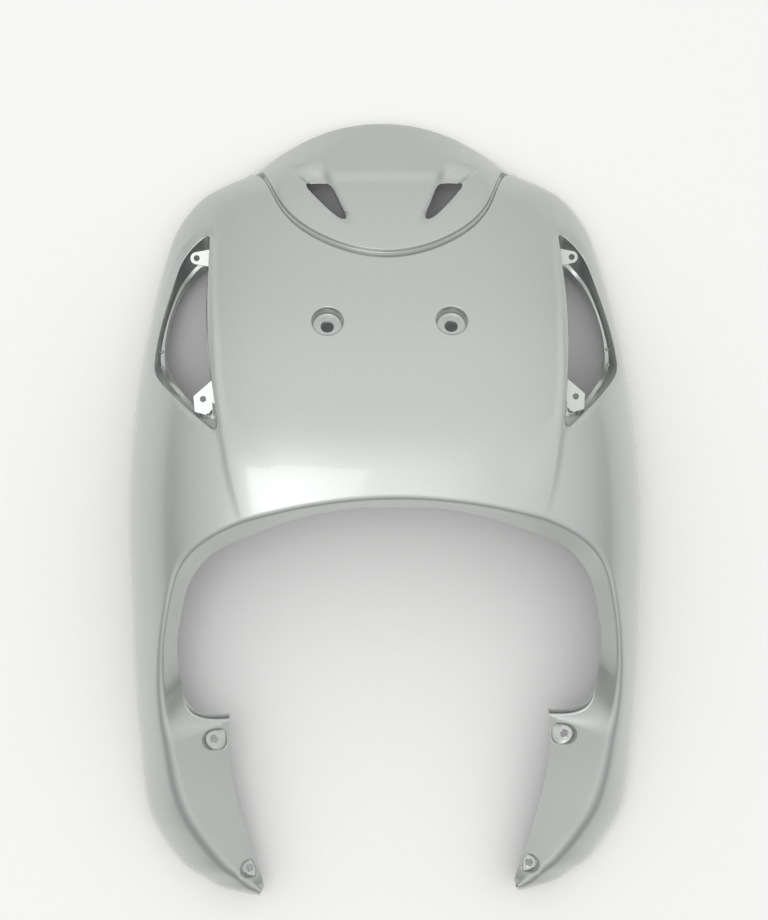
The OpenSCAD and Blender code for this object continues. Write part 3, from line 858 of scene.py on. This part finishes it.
def cup_ring(radius, depth):
    """A ring in the right-hand cup: its radius, and how deep it lies along the cup's axis."""
    across = np.stack([np.cos(TURN), 0 * TURN, 0 * TURN], 1) + np.sin(TURN)[:, None] * CUP_SIDE
    return CUP_CENTRE + across * radius - CUP_AXIS * depth


bore = CUP_BORE / 2
cup_mouth = cup_ring(bore, 0)[:, :2]
cup_cut = edge_rings(cup_mouth, skin_height, 1.3, (0, 0.15, 0.4, 0.8, 1.3, 2.2))
print("cup mouth %.1f mm across, %.1f mm over the table" % (CUP_BORE, CUP_CENTRE[2]))

# %% [markdown]
# ## Openings in the hood
# The windows and the cups are pierced on both halves from the same rings. Round a window the rings
# follow its bevel outward, so that the facets turn with it.

# %% Pierce the hood
window_reach = BEVEL_WIDTH * WINDOW_ROWS[:, 4:5]
window_steps = list(RING_STEPS) + [
    np.maximum(1.2 + 0.45 * k, window_reach * f) for k, f in enumerate((0.3, 0.6, 0.9, 0.99, 1.01, 1.12))]
window_cut = edge_rings(WINDOW_LOOP, skin_height, EDGE_ROUND, window_steps)
for cut in (cup_cut, flipped(cup_cut)):
    shell.pierce(*cut, band=2.2)
for cut in (window_cut, flipped(window_cut)):
    shell.pierce(*cut, band=1.6)
print("triangles round the openings:", len(shell.tris))

# %% [markdown]
# ## Screw seats in the leg plates
# Each leg ends in a plate with two D-shaped recesses, level with the plate at its free edge and
# deeper towards the leg, so that a screw's head pulls on a flat seat. The plate is part of the
# swept section and has no formula in X and Y, so a small fit through the nearest grid points gives
# its height.

# %% Height by fitting
def near_surface(points):
    """A height function fitted through the nearest grid points, for surfaces with no formula in x and y."""
    def height(x, y):
        x, y = np.broadcast_arrays(np.asarray(x, float), np.asarray(y, float))
        z = np.zeros(x.shape)
        for k in np.ndindex(x.shape):
            dx, dy = points[:, 0] - x[k], points[:, 1] - y[k]
            d = dx * dx + dy * dy
            i = np.argpartition(d, 24)[:24]
            w = np.exp(-d[i] / max(d[i].max(), 1e-6) * 2)
            u, v = dx[i], dy[i]
            a = np.stack([np.ones(24), u, v, u * u, u * v, v * v], 1)
            z[k] = np.linalg.lstsq(a * w[:, None], points[i, 2] * w, rcond=None)[0][0]
        return z
    return height


level = np.array([(k % 7, k // 7, 5) for k in range(49)])
print("height of a fitted level plane: %.1f" % near_surface(level)(3, 3))

# %% Seats in the leg plates
LEG_HOLE, LEG_SEAT = 5.4, 16.0
UPPER_LEG, LOWER_LEG = (131, -170, 50.5), (106, -270, 32.5)


def seat_outline(centre, radius, free):
    """A D whose straight side is on the plate's free edge; free is its x at the upper and lower end."""
    x, y = centre[:2]
    arc = [(x + radius * math.cos(a), y + radius * math.sin(a)) for a in np.radians(np.arange(-80, 81, 20))]
    return rounded([(x, y - radius), *arc, (x, y + radius), (free[0], y + radius * 0.96),
                    (free[1], y - radius * 0.96)], 0.9)


flange_first = RIM_COLS + SKIN_COLS + 1 + ROLL_COLS
right_leg = shell_grid[shell_rows > 10.5][:, flange_first - 2:].reshape(-1, 3)
leg_plate = near_surface(right_leg)
SEATS = [(UPPER_LEG, LEG_SEAT / 2, (121.7, 121.3)), (LOWER_LEG, LEG_SEAT / 2 - 1.5, (103.1, 99.3))]
seat_cuts = []
for centre, radius, free in SEATS:
    cut = edge_rings(seat_outline(centre, radius, free), leg_plate, 0.8, (0, 0.12, 0.35, 0.8, 1.3))
    seat_cuts.append(cut)
    shell.pierce(*cut, band=2.2)
    shell.pierce(*flipped(cut), band=2.2)
print("seat recesses:", 2 * len(seat_cuts))

# %% [markdown]
# ## The dome's vents
# A vent is a sharp-cornered slot at the foot of each scoop. Its edge is rounded a little, because
# paint pulls back from a sharp edge.

# %% The dome with its vents
VENT = [(59, 243), (57, 244.5), (44, 244.5), (40, 241.5), (37, 235), (34, 227), (30.5, 219), (29.5, 216.5),
        (31, 215), (35, 216.5), (41, 221.5), (48, 229), (55.5, 238)]
dome_rows = shell_rows[np.abs(shell_rows) <= CORNER + 1e-6]
dome_grid = dome_section(dome_rows)
dome = Skin(dome_grid)
# the dome runs out to nothing at its corners, where its wall goes straight down
ends = smooth((np.repeat(np.abs(dome_rows), dome.cols) - 2.75) / 0.15)[:, None]
dome.offset = unit(dome.offset * (1 - ends) + np.array([0, 0, 1]) * ends)
dome_near = near_surface(dome_grid[np.abs(dome_rows) < 2.2][:, 14:].reshape(-1, 3))
vent_loop = rounded(VENT, 0.9, passes=1)
vent_cut = edge_rings(vent_loop, dome_near, 0.7, (0, 0.12, 0.35, 0.7, 1.2))
dome.pierce(*vent_cut, band=1.8)
dome.pierce(*flipped(vent_cut), band=1.8)
print("dome rows", dome.rows, "columns", dome.cols)

# %% [markdown]
# ## Hood and dome as pieces
# The two skins are thickened and painted outside, and left bare inside. On the real panel they are
# one moulding, so both ride on the same body, and the imported part is hidden in their place.

# %% Hood and dome
def shell_piece(name, skin):
    """Thickens a pierced skin and makes it a painted piece with a bare inside."""
    points, shade, front, rear, bridge = thicken(skin.points, skin.offset, skin.shade, skin.faces())
    faces = front + rear + bridge
    kinds = [0] * len(front) + [1] * len(rear) + [0] * len(bridge)
    obj = build(name, points, faces, shade, len(front) + len(rear), (PAINT, INSIDE), kinds)
    print(name, "triangles", sum(len(f) - 2 for f in faces))
    return finish_piece(obj)


hood = shell_piece("hood_shell", shell)
dome_piece = shell_piece("dome_shell", dome)
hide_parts("nose_panel")
print("pieces so far:", hood.name, dome_piece.name)

# %% [markdown]
# ## Lamp pockets
# Behind each window a wall runs back from the skin and leans inward to the lamp's opening, with a
# narrow ledge two thirds of the way down. A plain extrusion would leave the opening as wide as the
# window, so the rings slide from one outline to the other by a small profile.

# %% Lamp pockets
POCKET_DEPTH, TAB_WALL = 17.0, 2.5
# depth down the wall against how far it has leaned towards the opening: a wall, a ledge and a foot
POCKET_WALL = [(0, 0), (0.3, 0.16), (0.69, 0.42), (0.705, 0.46), (0.725, 0.8), (0.74, 0.86), (1, 1)]
POCKET_LEVELS = (0, 0.02, 0.05, 0.1, 0.2, 0.3, 0.45, 0.6, 0.66, 0.69, 0.705, 0.715, 0.725, 0.74, 0.77, 0.85,
                 0.95, 1.0)


def pocket_rows(top):
    foot = WINDOW_ROWS[:, 2:4]
    rows = []
    for level in POCKET_LEVELS:
        k = np.interp(level, *zip(*POCKET_WALL))
        rows.append(np.column_stack([WINDOW_LOOP * (1 - k) + foot * k, top[:, 2] - POCKET_DEPTH * level]))
    out = ring_out(foot, 1.0) - foot
    for grow, drop in ((0.25, 0.25), (1.0, 0.4), (2.0, 0.3), (TAB_WALL, -0.2)):
        rows.append(np.column_stack([foot + out * grow, top[:, 2] - POCKET_DEPTH - drop]))
    for level in (0.5, 0.24):
        k = level * 1.3
        p = WINDOW_LOOP * (1 - k) + foot * k
        rows.append(np.column_stack([ring_out(p, TAB_WALL), top[:, 2] - POCKET_DEPTH * level]))
    return rows


right_pocket = pocket_rows(window_cut[0][0])
for side, rows in (("right", right_pocket), ("left", mirror_rows(right_pocket))):
    finish_piece(loft("lamp_pocket_" + side, rows, PAINT, sharp=50))
print("rings in a pocket:", len(right_pocket))

# %% [markdown]
# ## Pips in the pockets
# Small moulded pips along the foot of each pocket's outer wall locate the lamp. Each one is a low
# dome turned out of the wall. A sphere would sink its lower half through the wall, so a pip is
# drawn as a few rings with a flat base.

# %% Pocket pips
PIPS = [(163.5, 148), (166.2, 133), (167.6, 118), (167.4, 106)]


def pip_rows(place, z, radius=1.5, height=1.6):
    """Rings of a low dome from its foot to its top, and back under it as a flat base."""
    rows = []
    for a in np.radians([0, 25, 45, 62, 78, 86]):
        ring = np.column_stack([np.cos(TURN[::8]), np.sin(TURN[::8])]) * radius * math.cos(a)
        rows.append(np.column_stack([ring + place, np.full(len(ring), z + height * math.sin(a))]))
    foot = rows[0].copy()
    foot[:, 2] = z - 2
    under = (foot - foot.mean(0)) * 0.1 + foot.mean(0)
    return [under, foot] + rows


pocket_floor = near_surface(np.vstack(right_pocket[11:14]))
for n, place in enumerate(PIPS):
    rows = pip_rows(np.array(place), float(pocket_floor(*place)))
    finish_piece(loft("pocket_pip_right_%d" % n, rows, PAINT))
    finish_piece(loft("pocket_pip_left_%d" % n, mirror_rows(rows), PAINT))
print("pips:", 2 * len(PIPS))

# %% [markdown]
# ## Lips of the leg plates
# The top of each plate turns down in a rounded lip, which stiffens it. It is swept along the
# plate's edge, over the cut edge of the flange, as a closed profile, so that it has a real
# thickness where the photo looks on its edge.

# %% Leg lips
LEG_LIP = 7.0
# distance into the plate from the lip's edge, and height against the plate
LIP_PROFILE = [(5.6, -0.25), (5.0, 0.02), (4.3, 0.03), (3.6, -0.15), (2.9, -0.6), (2.2, -1.4), (1.5, -2.5),
               (0.9, -3.8), (0.4, -5.2), (0.1, -6.4), (0, -LEG_LIP), (0.3, -LEG_LIP - 0.4),
               (1.5, -LEG_LIP - 0.4), (1.9, -LEG_LIP), (2.2, -5.2), (3.2, -3.6), (4.2, -2.8), (5.6, -2.6)]


def lip_rows():
    s = np.concatenate([np.linspace(LIP_START, 10.7, 14), np.linspace(10.7, 12, 44)[1:]])
    p, inward, share = lip_frame(s)
    share = np.maximum(share, 0.02)
    rows = []
    for u, h in LIP_PROFILE:
        xy = p[:, :2] + inward * u * share
        rows.append(np.column_stack([xy, p[:, 2] - PLATE_FALL * u * share[:, 0] + h * share[:, 0]]))
    return rows


def strip(name, rows, material, sharp=45):
    """A closed tube whose rows run along it, capped at both ends."""
    m, n = len(rows), len(rows[0])
    faces = []
    for r in range(m):
        a, b = r * n, (r + 1) % m * n
        faces += [(a + i, a + i + 1, b + i + 1, b + i) for i in range(n - 1)]
    faces += [tuple(r * n for r in range(m)), tuple(r * n + n - 1 for r in reversed(range(m)))]
    pts = np.vstack(rows)
    middle = pts.mean(0)
    a, b, c = (pts[faces[0][k]] for k in (0, 1, 2))
    if np.cross(b - a, c - b) @ (a - middle) < 0:
        faces = [f[::-1] for f in faces]
    obj = build(name, pts, faces, materials=[material])
    obj.data.set_sharp_from_angle(angle=math.radians(sharp))
    return obj


for side, turn in (("right", 1), ("left", -1)):
    finish_piece(strip("leg_lip_" + side, [r * [turn, 1, 1] for r in lip_rows()], PAINT))
print("points in a lip's profile:", len(LIP_PROFILE))

# %% [markdown]
# ## Tabs in the lamp pockets
# Two flat tabs in each pocket take the lamp's screws: a short one at the top, round at its end, and
# a faceted one in the lower corner with a small rib beside it. Each is cut from its outline like
# sheet, with a bevel modifier to break its edges, because flat faces with crisp edges are what the
# photo shows.

# %% Flat plates
PLATE_BEVEL = 0.35


def plate(name, outline, hole, radius, low, high):
    """A flat plate with one screw hole, its edges broken by a small bevel."""
    ring = [(hole[0] + radius * math.cos(a), hole[1] + radius * math.sin(a)) for a in TURN[::2] if radius]
    n, m = len(outline), len(ring)
    pts = [Vector(p) for p in list(outline) + ring]
    cons = [(i, (i + 1) % n) for i in range(n)] + [(n + i, n + (i + 1) % m) for i in range(m)]
    verts, _, tris = delaunay_2d_cdt(pts, cons, [], 0, 1e-7)[:3]
    flat = np.array([v[:] for v in verts])
    mid = np.array([flat[list(t)].mean(0) for t in tris])
    keep = inside(mid[:, 0], mid[:, 1], np.array(outline))
    if m:
        keep &= np.hypot(mid[:, 0] - hole[0], mid[:, 1] - hole[1]) > radius * 0.99
    k = len(flat)
    top = [tuple(t) for t, ok in zip(tris, keep) if ok]
    edges = set()
    for t in top:
        for a, b in zip(t, t[1:] + t[:1]):
            edges ^= {(a, b)} if (b, a) not in edges else {(b, a)}
    under = [tuple(v + k for v in reversed(t)) for t in top]
    faces = top + under + [(b, a, a + k, b + k) for a, b in edges]
    points = np.vstack([np.column_stack([flat, np.full(k, z)]) for z in (high, low)])
    obj = build(name, points, faces, materials=[PAINT])
    for p in obj.data.polygons:
        p.use_smooth = False
    soft = obj.modifiers.new("edge", "BEVEL")
    soft.width, soft.segments = PLATE_BEVEL * MM, 2
    soft.limit_method, soft.angle_limit = "ANGLE", math.radians(50)
    return finish_piece(obj)


def mirrored(loop):
    """The same outline on the left half, still anticlockwise."""
    m = loop[::-1].copy()
    m[:, 0] *= -1
    return m


print("plate edges are broken by %.2f mm" % PLATE_BEVEL)

# %% Lamp tabs
LAMP_HOLE, TAB_ROUND = 4.6, 4.6
UPPER_TAB, LOWER_TAB = (141.0, 188.0), (135.0, 81.0)
UPPER_TAB_Z, LOWER_TAB_Z = 39.0, 93.0
TAB_TURN = np.radians(np.arange(-90, 91, 12))
tab_end = [(UPPER_TAB[0] + TAB_ROUND * math.cos(a), UPPER_TAB[1] + TAB_ROUND * math.sin(a)) for a in TAB_TURN]
upper_outline = np.array(tab_end + [(131, 194.5), (131, 181.5)])
lower_outline = np.array([(141.8, 83), (128, 95), (124, 91), (125.5, 76), (133, 69.5), (141, 72)])
rib_outline = np.array([(127.5, 63.5), (133.5, 68.5), (131, 72), (126, 68.5)])
# name, outline, hole, hole's radius, underside and top
TABS = [("upper_tab_", upper_outline, UPPER_TAB, LAMP_HOLE / 2, UPPER_TAB_Z, UPPER_TAB_Z + TAB_WALL),
        ("lower_tab_", lower_outline, LOWER_TAB, LAMP_HOLE / 2, LOWER_TAB_Z, LOWER_TAB_Z + TAB_WALL),
        ("tab_rib_", rib_outline, (0, 0), 0, LOWER_TAB_Z - 5, LOWER_TAB_Z + 1)]
for side, turn in (("right", 1), ("left", -1)):
    for label, outline, (x, y), radius, low, high in TABS:
        placed = outline if turn > 0 else mirrored(outline)
        plate(label + side, placed, (turn * x, y), radius, low, high)
print("plates in the pockets:", 2 * len(TABS))

# %% [markdown]
# ## Cups and seats
# The recesses are lofted down from the rings already cut, round by round: wall, floor, hole and the
# back of the floor. Starting from the cut ring leaves no gap between a recess and the skin round
# it.

# %% Cup rows
# radius and depth along the cup's axis, from the mouth down to the hole and back up outside
CUP_PROFILE = [(bore - 0.1, 2.2), (bore - 0.3, 5.5), (bore - 0.5, CUP_DEPTH - 1.2),
               (bore - 0.8, CUP_DEPTH - 0.4), (bore - 1.4, CUP_DEPTH), (7.6, CUP_DEPTH),
               (CUP_HOLE / 2 + 0.5, CUP_DEPTH), (CUP_HOLE / 2, CUP_DEPTH + 0.5),
               (CUP_HOLE / 2, CUP_DEPTH + WALL), (bore - 1, CUP_DEPTH + WALL),
               (bore + WALL - 0.6, CUP_DEPTH), (bore + WALL, 2.0), (bore + 1.2, 1.6)]
cup_rows = [cup_cut[0][0]] + [cup_ring(radius, depth) for radius, depth in CUP_PROFILE]
print("rings in a cup:", len(cup_rows))

# %% Seat rows and recesses
def seat_rows(centre, mouth):
    """Rings from the plate down to the flat seat, through the hole and back up outside."""
    c = np.array(centre)
    out = unit((mouth - c)[:, :2])
    reach = np.linalg.norm((mouth - c)[:, :2], axis=1)

    def ring(radius, z):
        away = np.broadcast_to(radius, reach.shape)[:, None]
        return np.column_stack([c[:2] + out * away, np.full(len(out), z)])
    floor = c[2]
    drop = mouth[:, 2] - floor
    lean = np.minimum(1.6, drop * 0.3)
    hole = LEG_HOLE / 2
    plane = np.column_stack([mouth[:, :2] - c[:2], np.ones(len(mouth))])
    tilt = np.linalg.lstsq(plane, mouth[:, 2], rcond=None)[0] * 0.5

    def leaning(radius, z):
        r = ring(radius, z)
        r[:, 2] += (r[:, :2] - c[:2]) @ tilt[:2]
        return r
    half = ring(reach - lean * 0.5, floor)
    half[:, 2] = floor + drop * 0.45
    low = leaning(reach - lean * 0.9, floor)
    low[:, 2] += np.minimum(drop * 0.15, 0.8)
    back = ring(reach + 1.5, floor)
    back[:, 2] = mouth[:, 2] - 1.6
    return [mouth, half, low, leaning(reach - lean - 0.5, floor), leaning(hole + 1.6, floor),
            leaning(hole + 0.3, floor), ring(hole, floor - 0.3), ring(hole, floor - WALL),
            ring(reach - 1, floor - WALL), back]


recesses = [("screw_cup", cup_rows)]
for label, (centre, _, _), cut in zip(("upper_seat", "lower_seat"), SEATS, seat_cuts):
    recesses.append((label, seat_rows(centre, cut[0][0])))
for label, rows in recesses:
    finish_piece(loft(label + "_right", rows, PAINT))
    finish_piece(loft(label + "_left", mirror_rows(rows), PAINT))
print("recesses:", 2 * len(recesses))

# %% [markdown]
# ## The table
# The photo has a plain pale ground with no horizon, so the table is one wide sheet with a dull pale
# finish. It carries the panel's shadow and nothing else.

# %% Table
TABLE_HALF = 30


def floor_material():
    m, _, bsdf = new_material("pale_table")
    bsdf.inputs["Base Color"].default_value = (0.93, 0.93, 0.92, 1)
    bsdf.inputs["Roughness"].default_value = 0.9
    bsdf.inputs["Specular IOR Level"].default_value = 0.1
    return m


half = TABLE_HALF
mesh = bpy.data.meshes.new("table")
corners = [(-half, -half, 0), (half, -half, 0), (half, half, 0), (-half, half, 0)]
mesh.from_pydata(corners, [], [(0, 1, 2, 3)])
mesh.materials.append(floor_material())
floor = bpy.data.objects.new("table", mesh)
bpy.context.scene.collection.objects.link(floor)
print("table", 2 * half, "m wide")

# %% [markdown]
# ## The room's light
# Silver paint shows the room more than itself. The photo was lit softly from above, a little from
# the dome's end, so the world is a plain grey gradient that is brightest there, with a step where
# the room's reflection had an edge. An image of a studio would do this too, but a gradient needs no
# file.

# %% Room
# the room's brightness against the angle from its brightest part, as a cosine
ROOM_POLE = (0.04, 0.3, 0.953)
ROOM = [(-0.3, 0.24), (0.04, 0.36), (0.19, 0.46), (0.21, 0.6), (0.45, 0.82), (0.675, 0.95), (0.86, 1.04),
        (1.0, 1.14)]


def studio():
    """A soft room, bright above and behind the panel and dim at the front, with a crisp edge between."""
    w = bpy.data.worlds.new("studio")
    bpy.context.scene.world = w
    w.use_nodes = True
    add, link = node_maker(w.node_tree), w.node_tree.links.new
    bg = w.node_tree.nodes["Background"]
    where, dot = add("ShaderNodeTexCoord"), add("ShaderNodeVectorMath", operation="DOT_PRODUCT")
    dot.inputs[1].default_value = ROOM_POLE
    link(where.outputs["Generated"], dot.inputs[0])
    span = add("ShaderNodeMapRange")
    span.inputs["From Min"].default_value, span.inputs["From Max"].default_value = ROOM[0][0], 1.0
    link(dot.outputs["Value"], span.inputs["Value"])
    ramp = add("ShaderNodeValToRGB")
    cr = ramp.color_ramp
    while len(cr.elements) < len(ROOM):
        cr.elements.new(0.5)
    top = ROOM[-1][1]
    for e, (u, v) in zip(cr.elements, ROOM):
        e.position = (u - ROOM[0][0]) / (1 - ROOM[0][0])
        e.color = (v / top, v / top, v / top, 1)
    link(span.outputs["Result"], ramp.inputs[0])
    link(ramp.outputs["Color"], bg.inputs["Color"])
    bg.inputs["Strength"].default_value = top


studio()
print("room steps:", len(ROOM))

# %% [markdown]
# ## The soft box
# One broad soft box to the left gives the bright patch low on the hood. It is an area light, so
# that its size and brightness can be set apart.

# %% Soft box
def soft_light(name, place, aim, size, radiance):
    """A rectangular soft box with a given brightness of its face."""
    light = bpy.data.lights.new(name, "AREA")
    light.shape, light.size, light.size_y = "RECTANGLE", size[0], size[1]
    light.energy = radiance * math.pi * size[0] * size[1]
    obj = bpy.data.objects.new(name, light)
    bpy.context.scene.collection.objects.link(obj)
    obj.location = place
    obj.rotation_euler = (Vector(aim) - Vector(place)).to_track_quat("-Z", "Y").to_euler()
    return obj


BOX_PLACE, BOX_SIZE, BOX_RADIANCE = (-0.42, 0.06, 2.4), (1.0, 0.9), 2.2
box = soft_light("soft_box", BOX_PLACE, (0, 0, 0), BOX_SIZE, BOX_RADIANCE)
print("soft box of %.1f W" % box.data.energy)

# %% [markdown]
# ## The camera
# The photo looks straight down on the panel from about a metre and a half, a few degrees from the
# left. The lens follows from the focal length in the photo's pixels, so the panel comes out at its
# place and size without any shift.

# %% Camera
PHOTO_H = 920
FOCAL_PX = 1945.0
camera = bpy.data.cameras.new("camera")
camera.sensor_width = camera.sensor_height = 36
camera.sensor_fit = "VERTICAL"
camera.lens = FOCAL_PX / PHOTO_H * 36
camera.clip_start, camera.clip_end = 0.05, 30
# where the camera stands and what it looks at, in metres; its roll is half a degree
EYE, AIM = (-0.078, 0.036, 1.5), (0, 0.036, 0)
ROLL_SLOPE = 0.0087
eye = Vector(EYE)
look = (Vector(AIM) - eye).normalized()
up = Vector((ROLL_SLOPE, 1, 0))
right = look.cross(up).normalized()
up = right.cross(look)
cam = bpy.data.objects.new("camera", camera)
bpy.context.scene.collection.objects.link(cam)
cam.matrix_world = Matrix.Translation(eye) @ Matrix((right, up, -look)).transposed().to_4x4()
bpy.context.scene.camera = cam
bpy.context.scene.view_settings.view_transform = "Standard"
print("lens %.1f mm, %.2f m from the table" % (camera.lens, eye.z))
